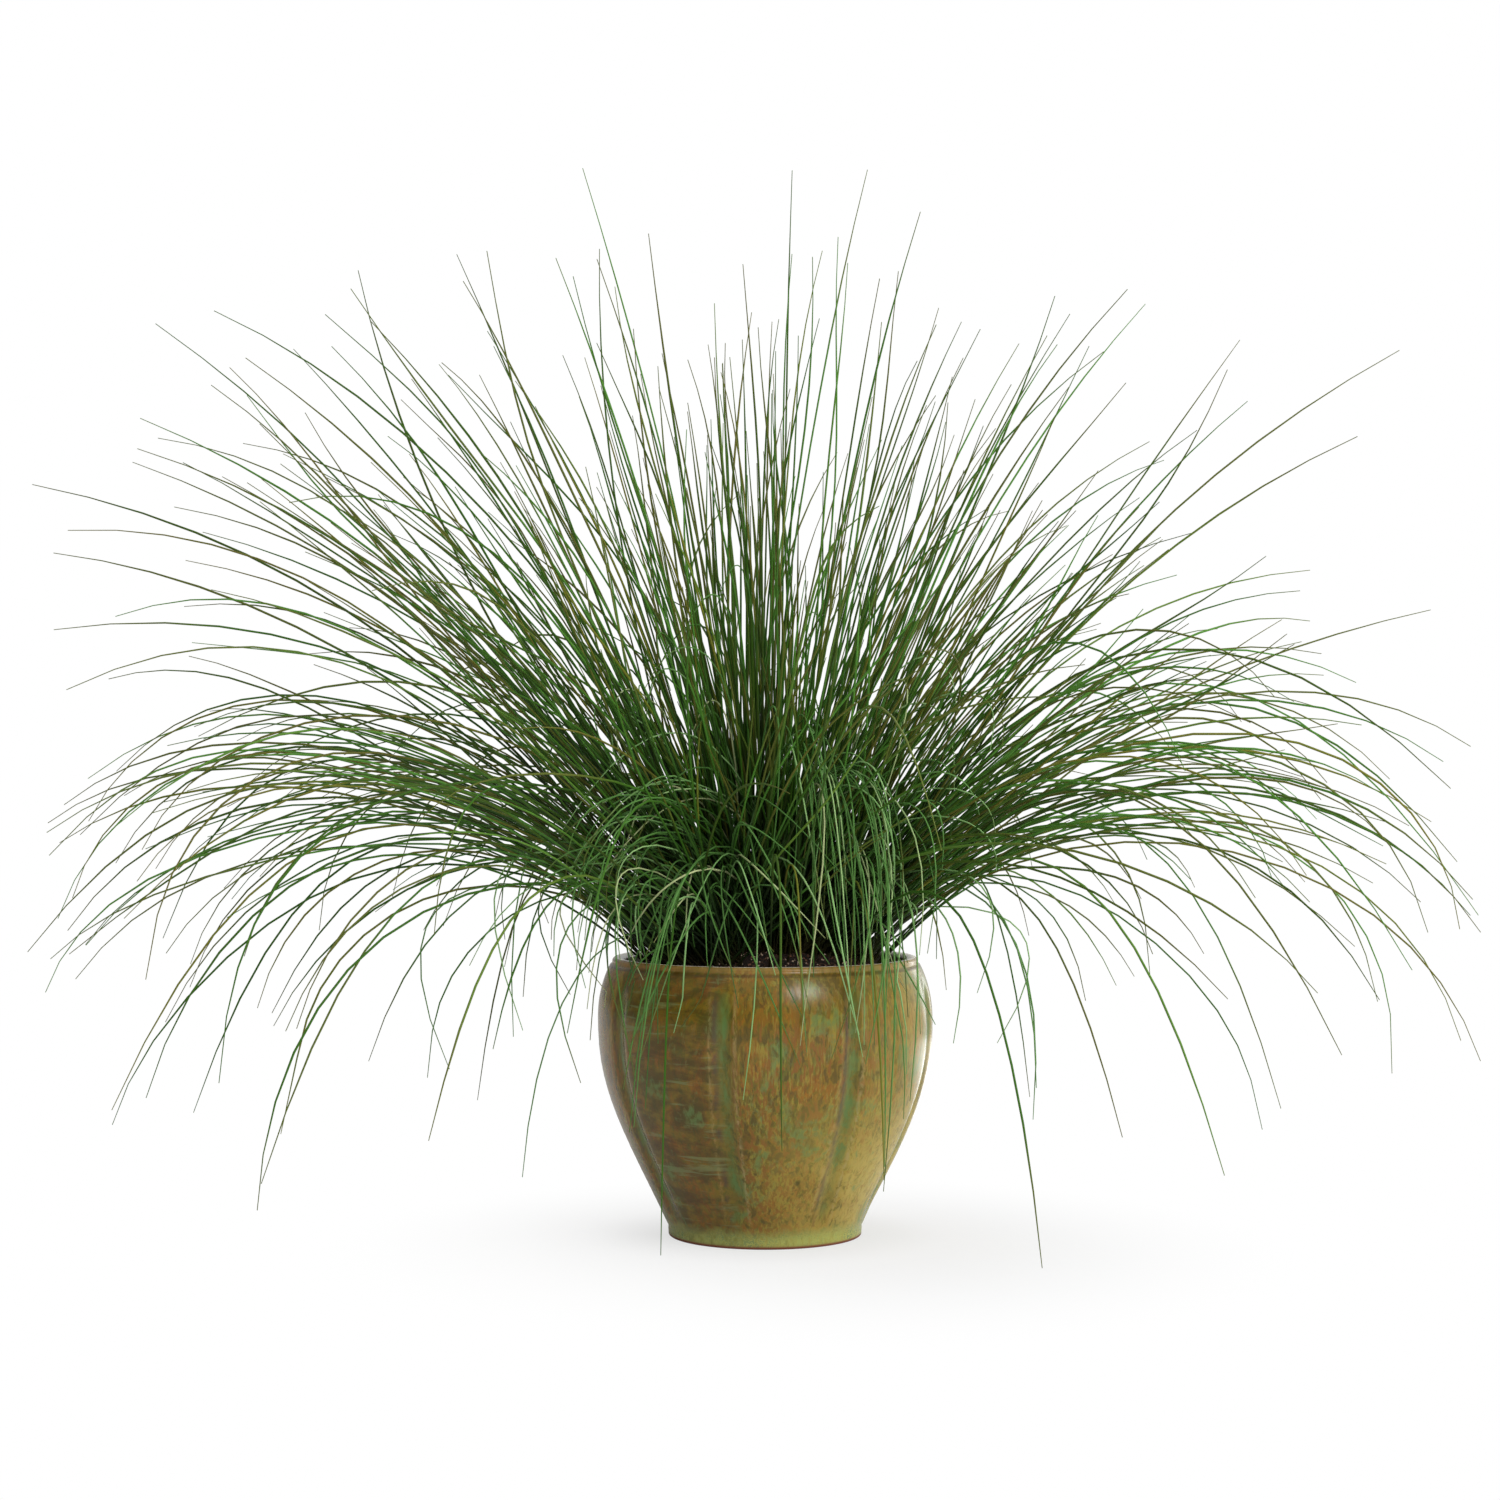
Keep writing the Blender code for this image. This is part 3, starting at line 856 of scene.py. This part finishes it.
# Young light-green stems that arch over in front, tuft by tuft: how many, then the foot, the crest and
# the tip of the middle one to the right, to the front and up, and how far the others scatter, in millimetres
curls = [
    # a mound that sweeps over to the left
    (8, (20, 30), (-52, 75, 400), (-180, 105, 326), 16),
    (9, (0, 40), (-70, 85, 380), (-150, 125, 308), 20),
    (9, (-20, 50), (-86, 95, 350), (-128, 125, 274), 22),
    (8, (-50, 50), (-112, 85, 330), (-166, 100, 258), 22),
    (8, (-40, 70), (-60, 110, 318), (-76, 135, 258), 22),
    # from it over the lip and down the wall
    (6, (-50, 60), (-108, 110, 316), (-136, 122, 180), 26),
    (7, (-30, 70), (-74, 125, 318), (-90, 150, 172), 28),
    (6, (-20, 80), (-40, 135, 314), (-50, 162, 196), 28),
    (3, (0, 60), (-48, 125, 345), (-90, 150, 108), 14),
    # in the middle, leaning to the right
    (8, (-30, 40), (-12, 95, 356), (50, 130, 268), 20),
    (5, (-40, 50), (-24, 125, 336), (14, 162, 214), 24),
    (6, (-10, 30), (12, 75, 448), (18, 110, 304), 14),
    # the bundle that hangs on the right
    (12, (10, 20), (60, 80, 412), (100, 115, 284), 13),
    (9, (20, 30), (54, 90, 414), (78, 140, 222), 14),
    (9, (50, 30), (86, 90, 372), (106, 116, 250), 16),
    (7, (10, 20), (30, 80, 438), (66, 118, 262), 14),
    (6, (40, 30), (104, 70, 392), (162, 85, 352), 18),
    # from there over the lip and down the wall
    (7, (50, 40), (80, 110, 350), (96, 136, 170), 22),
    (4, (70, 40), (106, 92, 328), (122, 112, 146), 20),
    (2, (60, 40), (88, 110, 330), (106, 142, 60), 8),
    # at both sides of the pot
    (8, (-70, 30), (-160, 60, 316), (-206, 75, 180), 34),
    (6, (70, 30), (160, 55, 314), (204, 75, 176), 34),
    # loose hooks higher up
    (8, (-40, 20), (-108, 40, 462), (-104, 65, 384), 24),
    (7, (-10, 20), (-52, 45, 480), (-94, 60, 452), 24),
    (6, (30, 20), (110, 40, 478), (142, 60, 412), 26),
    (3, (0, 30), (-32, 50, 530), (-72, 60, 500), 20),
    # low ones over the soil's edge
    (9, (-60, 60), (-86, 98, 298), (-100, 122, 262), 20),
    (4, (70, 50), (94, 80, 298), (108, 100, 262), 18),
]


def outwardFrom(azimuth, reach, side, height):
    turn = math.radians(azimuth)
    x = reach * math.sin(turn) + side * math.cos(turn)
    y = side * math.sin(turn) - reach * math.cos(turn)
    return np.stack([x, y, height], axis=1)


def leadRoute(azimuth, tipReach, tipHeight, pullReach, pullHeight):
    # the same curve as the solid stem of this row, with a slight waver
    lean = math.degrees(math.atan2(pullReach, pullHeight - soil["edgeHeight"]))
    reach = stem["clumpRadius"] * min(lean / stem["clumpLean"], 1.0)
    slope = soilSlope(reach)
    tilt = math.atan2(pullReach - reach, pullHeight - soilHeight(reach)) - slope
    lift = stem["gap"] + stem["capBase"] * abs(math.sin(tilt))
    base = (reach + lift * math.sin(slope), soilHeight(reach) + lift * math.cos(slope))
    shares = np.linspace(0.0, 1.0, stem["pieces"] + 1)
    way = bezier([base, (pullReach, pullHeight), (tipReach, tipHeight)], shares)
    waver = stem["leadWaver"] * np.sin(math.pi * shares) * np.sin(shares * stem["leadWaves"] + azimuth)
    return outwardFrom(azimuth, way[:, 0], waver, way[:, 1])


def thinOut(route, count):
    # keeps as many points as asked for, closer together where it bends
    steps = np.diff(route, axis=0)
    lengths = np.linalg.norm(steps, axis=1)
    ways = steps / lengths[:, None]
    turns = np.append(0.0, np.arccos(np.clip((ways[1:] * ways[:-1]).sum(axis=1), -1.0, 1.0)))
    weight = np.append(0.0, np.cumsum(lengths / lengths.sum() + stem["bendWeight"] * turns))
    marks = np.linspace(0.0, weight[-1], count)
    return np.stack([np.interp(marks, weight, route[:, axis]) for axis in range(3)], axis=1)


def clearOfPot(route):
    # a stem that comes back down leans on the lip and the wall, and ends where it would come down on the soil
    coming = np.arange(len(route)) > route[:, 2].argmax()
    coming &= route[:, 2] < pot["height"] + stem["tipLift"]
    outward = np.hypot(route[:, 0], route[:, 1])
    struck = np.flatnonzero(coming & (outward < pot["lipRadius"] - stem["tipLift"]))
    if len(struck):
        route, coming, outward = route[: struck[0]], coming[: struck[0]], outward[: struck[0]]
    nearest = wallRadius(np.minimum(route[:, 2], pot["neckHeight"])) + stem["potClearance"]
    spread = np.where(coming, np.maximum(nearest / outward, 1.0), 1.0)
    return route * np.stack([spread, spread, np.ones_like(spread)], axis=1)


def bentRoute(foot, azimuth, tilts, length):
    # a stem from its foot by its tilt along the way, with some sway of its own, made shorter until it reaches
    # no farther than the solid stems
    shares = np.linspace(0.0, 1.0, len(tilts))
    waves = draw.uniform(*chance["waves"])
    sway, veer = draw.uniform(0.0, chance["sway"]), draw.uniform(0.0, chance["sway"])
    phases = draw.uniform(0.0, 2.0 * math.pi, 2)
    tilts = tilts + sway * shares * np.sin(waves * shares + phases[0])
    turns = azimuth + draw.normal(0.0, chance["drift"]) * shares
    turns = turns + veer * shares * np.sin(waves * shares + phases[1])
    tilts, turns = (np.radians((angles[1:] + angles[:-1]) / 2.0) for angles in (tilts, turns))
    out = np.sin(tilts)
    steps = np.stack([out * np.sin(turns), -stem["depthShare"] * out * np.cos(turns), np.cos(tilts)], axis=1)
    way = np.vstack([np.zeros(3), np.cumsum(steps, axis=0)]) / len(steps)
    start = np.array((foot[0], foot[1], soilHeight(math.hypot(*foot)) - stem["sunk"]))
    while True:
        route = start + way * length
        reach = np.hypot(route[:, 0] / stem["sideReach"], route[:, 1] / stem["depthReach"]).max()
        if reach < 1.0 and stem["lowest"] < route[:, 2].min() and route[:, 2].max() < stem["highest"]:
            return thinOut(clearOfPot(route), stem["pieces"] + 1)
        length *= stem["shorten"]


def scatterFoot(foot):
    foot = np.array(foot) + draw.normal(0.0, chance["foot"], 2)
    left, right = stem["bareSoil"]
    if foot[1] < 0.0 and left < foot[0] < right:
        foot[1] = draw.uniform(*stem["nextToBare"])  # the soil in front there is bare
    return foot * min(1.0, stem["clumpRadius"] / np.hypot(*foot))


def sprayRoutes(count, middle, halfSpread, tiltFrom, tiltTo, bendFrom, bendTo, usual, lengthSpread):
    # the first stem of each tuft chooses its azimuth, its tilt and where it stands
    routes, shares = [], np.linspace(0.0, 1.0, stem["samples"])
    for index in range(count):
        if index % stem["tuft"] == 0:
            tuftAzimuth = middle + draw.uniform(-halfSpread, halfSpread)
            share = (index / stem["tuft"] * chance["golden"] + draw.uniform(0.0, chance["order"])) % 1.0
            tuftTilt = math.sqrt(tiltFrom ** 2 + share * (tiltTo ** 2 - tiltFrom ** 2))
            distance = stem["clumpRadius"] * min(tuftTilt / stem["clumpLean"], 1.0)
            distance *= draw.uniform(*chance["footReach"])
            footAzimuth = tuftAzimuth + draw.normal(0.0, chance["tuftTurn"])
        length = np.clip(draw.normal(usual, lengthSpread), *stem["lengths"])
        bend = bendFrom + (bendTo - bendFrom) * draw.normal(*chance["bend"])
        bend *= (length / usual) ** 1.5
        tilt = np.clip(tuftTilt + draw.normal(0.0, chance["tilt"]), 0.0, stem["steepest"])
        tilts = np.minimum(tilt + bend * shares ** draw.uniform(*chance["bendPower"]), stem["mostTilt"])
        turn = math.radians(footAzimuth + draw.normal(0.0, chance["footTurn"]))
        foot = scatterFoot((distance * math.sin(turn), -distance * math.cos(turn)))
        azimuth = tuftAzimuth + draw.normal(0.0, chance["azimuth"])
        routes.append(bentRoute(foot, azimuth, tilts, length))
    return routes


def curlRoutes(count, *millimetres):
    # each rises steeply, passes its crest half way along and hangs to its tip, wavering a little
    foot, crest, tip, scatter = (np.array(measure) / 1000.0 for measure in millimetres)
    routes, shares = [], np.linspace(0.0, 1.0, stem["samples"])
    fromFront = np.array((1.0, -1.0, 1.0))
    for _ in range(count):
        base = np.append(scatterFoot((foot[0], -foot[1])), 0.0)
        base[2] = soilHeight(math.hypot(*base[:2])) - stem["sunk"]
        strayed = draw.normal(0.0, scatter, 3)
        top = crest * fromFront + strayed * chance["crest"]
        end = tip * fromFront + strayed + draw.normal(0.0, scatter, 3)
        end[2] = max(end[2], stem["lowest"] + 0.01)
        rise = base + (top - base) * (stem["curlRise"], stem["curlRise"], draw.uniform(*chance["curlRise"]))
        over = (8.0 * top - base - end - 3.0 * rise) / 3.0
        route = bezier([base, rise, over, end], shares)
        wave = draw.uniform(*chance["curlWaves"], 3) * shares[:, None] + draw.uniform(0.0, 2.0 * math.pi, 3)
        route += stem["curlWaver"] * shares[:, None] * np.sin(wave)
        routes.append(thinOut(clearOfPot(route), stem["pieces"] + 1))
    return routes


def stemRoutes():
    # the routes of every piece, each piece's farthest-reaching stems first
    routes = {side: [leadRoute(*row) for row in rows] for side, rows in leadStems.items()}
    for side, rows in sprays.items():
        for row in rows:
            routes[side] += sprayRoutes(*row)
    routes["curls"] = [route for row in curls for route in curlRoutes(*row)]
    return routes


def stemTree():
    # a tapered round tube along every edge path, closed at both ends
    tree, given, result = newTree("roundStems", {"Sides": "Int", "Material": "Material"})
    paths = addNode(tree, "GeometryNodeMeshToCurve", None, {"Mesh": given.outputs["Geometry"]})
    sides = {"Resolution": given.outputs["Sides"], "Radius": 1.0}
    ring = addNode(tree, "GeometryNodeCurvePrimitiveCircle", None, sides)
    place = addNode(tree, "GeometryNodeInputIndex")
    numbers = {"data_type": "FLOAT"}
    marked = addNode(tree, "GeometryNodeStoreNamedAttribute", {**numbers, "domain": "POINT"}, {
        "Geometry": ring.outputs[0], "Name": "side", "Value": place.outputs[0],
    })
    thickness = addNode(tree, "GeometryNodeInputNamedAttribute", numbers, {"Name": "thickness"})
    tubes = addNode(tree, "GeometryNodeCurveToMesh", None, {
        "Curve": paths.outputs[0], "Profile Curve": marked.outputs[0],
        "Scale": thickness.outputs[0], "Fill Caps": True,
    })
    endTree(tree, tubes.outputs[0], given.outputs["Material"], result)
    return tree


def layOut(mesh, stemCount):
    # lays every stem out as a strip of its own, side by side, in a map that the colours can be baked through
    names, count = ("side", "station", "number"), len(mesh.vertices)
    points = [readNumbers(mesh.attributes[name].data, "value", count, np.float32) for name in names]
    corners = readNumbers(mesh.loops, "vertex_index", len(mesh.loops), np.int32)
    starts = readNumbers(mesh.polygons, "loop_start", len(mesh.polygons), np.int32)
    totals = readNumbers(mesh.polygons, "loop_total", len(mesh.polygons), np.int32)
    face = np.repeat(np.arange(len(starts)), totals)
    around, upward, cell = (values[corners] for values in points)
    sides, pieces = stem["sides"], stem["pieces"]
    isTube = (totals == 4)[face]
    widest = np.maximum.reduceat(around, starts)[face]
    around = np.where(isTube & (around < 0.5) & (widest > sides - 1.5), sides, around)
    # the end caps are small rounds just past the strip
    angle = 2.0 * math.pi * around / sides
    beyond = np.where(upward > pieces / 2.0, pieces + strip["capPast"], -strip["capPast"])
    around = np.where(isTube, around, sides / 2.0 + strip["capWidth"] * np.cos(angle))
    upward = np.where(isTube, upward, beyond + strip["capHeight"] * np.sin(angle))
    columns = max(int(math.sqrt(stemCount * strip["cellShape"])), 1)
    rows = math.ceil(stemCount / columns)
    u = (cell % columns + strip["margin"] + (1.0 - 2.0 * strip["margin"]) * around / sides) / columns
    v = (np.floor(cell / columns) + (strip["end"] + upward) / (pieces + 2.0 * strip["end"])) / rows
    layer = mesh.uv_layers.new(name="OFBake")
    layer.uv.foreach_set("vector", np.stack([u, v], axis=1).astype(np.float32).ravel())


# Screen colours of the old and the young stems, and how much of the tip is dry at most
stemFinishes = {
    "rushStem": (((58, 78, 16), (52, 94, 18), (80, 132, 48), (106, 106, 32)), 0.7),
    "youngRushStem": (((54, 88, 36), (80, 124, 58), (132, 172, 108), (172, 180, 130)), 0.3),
}
# a dry tip, painted shade for the lower stems, and the brown sheath at the foot
dryTip, shade, sheath = linear(92, 90, 36), linear(12, 24, 6), linear(58, 42, 22)


def makeStemMaterial(name):
    # tint picks the green, dry browns the tip, the lower stem carries painted shade, and the foot is sheathed
    # in brown
    screens, tipShare = stemFinishes[name]
    greens = [linear(*screen) for screen in screens]
    leaf = Finish(name, IOR=1.45, Specular_IOR_Level=0.2)
    along, tint, dry = leaf.attribute("along"), leaf.attribute("tint"), leaf.attribute("dry")
    fibre = leaf.speckle(leaf.stretched((1.0, 1.0, 0.5)), 60.0, 3.0, 0.6)
    x, y, height = (leaf.coordinate(axis) for axis in "XYZ")
    # the painted shade on the feet is lighter in the open just outside the rim than in the thick of the plant
    besideRim = ((x * x + y * y) ** 0.5).above(0.11, 0.19) * (1.0 - height.above(0.31, 0.40))
    leaf.colour = leaf.blend(tint.above(0.10, 0.45), greens[0], greens[1])
    leaf.coat(tint.above(0.55, 0.80), greens[2])
    leaf.coat(tint.above(0.84, 0.96), greens[3])
    leaf.coat(fibre.above(0.40, 0.70) * 0.35, greens[1])
    leaf.coat((along - (1.0 - dry * tipShare)).above(0.0, 0.16) * 0.7, dryTip)
    leaf.coat((1.0 - along.above(0.08, 0.66)) * (0.94 - besideRim * 0.5), shade)
    leaf.coat((1.0 - along.above(0.0, 0.07)) * 0.5, sheath)
    leaf.feed("Base Color", leaf.colour)
    leaf.feed("Roughness", 0.42 + fibre * 0.2)
    return leaf.material


def stemValues(routes, young):
    # the values that every point of every stem carries, one row for each stem
    count = len(routes)
    lengths = np.linalg.norm(np.diff(np.stack(routes), axis=1), axis=2)
    travelled = np.concatenate([np.zeros((count, 1)), np.cumsum(lengths, axis=1)], axis=1)
    shares = travelled / lengths.sum(axis=1)[:, None]
    stout = draw.uniform(*stem["stoutness"], (count, 1)) * (stem["youngStoutness"] if young else 1.0)
    fade = smooth(shares, stem["tipFrom"], 1.0)
    taper = stem["baseRadius"] + (stem["endRadius"] - stem["baseRadius"]) * shares
    even = np.ones((count, stem["pieces"] + 1))
    return {
        "thickness": taper * stout * (1.0 - fade) + stem["tipRadius"] * fade,
        "along": shares,
        "station": even * np.arange(stem["pieces"] + 1)[None, :],
        "number": even * np.arange(count)[:, None],
        "tint": even * draw.uniform(size=(count, 1)),
        "dry": even * draw.uniform(size=(count, 1)) ** 2.0,
    }


def makeStems():
    tree = stemTree()
    grown, young = (makeStemMaterial(name) for name in stemFinishes)
    total, pieces = 0, stem["pieces"]
    for side, routes in stemRoutes().items():
        count = len(routes)
        starts = [number * (pieces + 1) for number in range(count)]
        edges = [(start + step, start + step + 1) for start in starts for step in range(pieces)]
        paths = bpy.data.meshes.new("paths")
        paths.from_pydata(np.vstack(routes).tolist(), edges, [])
        for name, values in stemValues(routes, side == "curls").items():
            storeValues(paths, name, values)
        mesh = grow(paths, tree, {"Sides": stem["sides"], "Material": young if side == "curls" else grown})
        layOut(mesh, count)
        nodes = ["stem_%s_%02d" % (side, index + 1) for index in range(len(leadStems.get(side, [])))]
        finishPiece("frontCurls" if side == "curls" else side + "Stems", mesh, nodes)
        total += count
        print(side, "stems:", count, "faces:", len(mesh.polygons))
    print("stems done:", total)


makeStems()
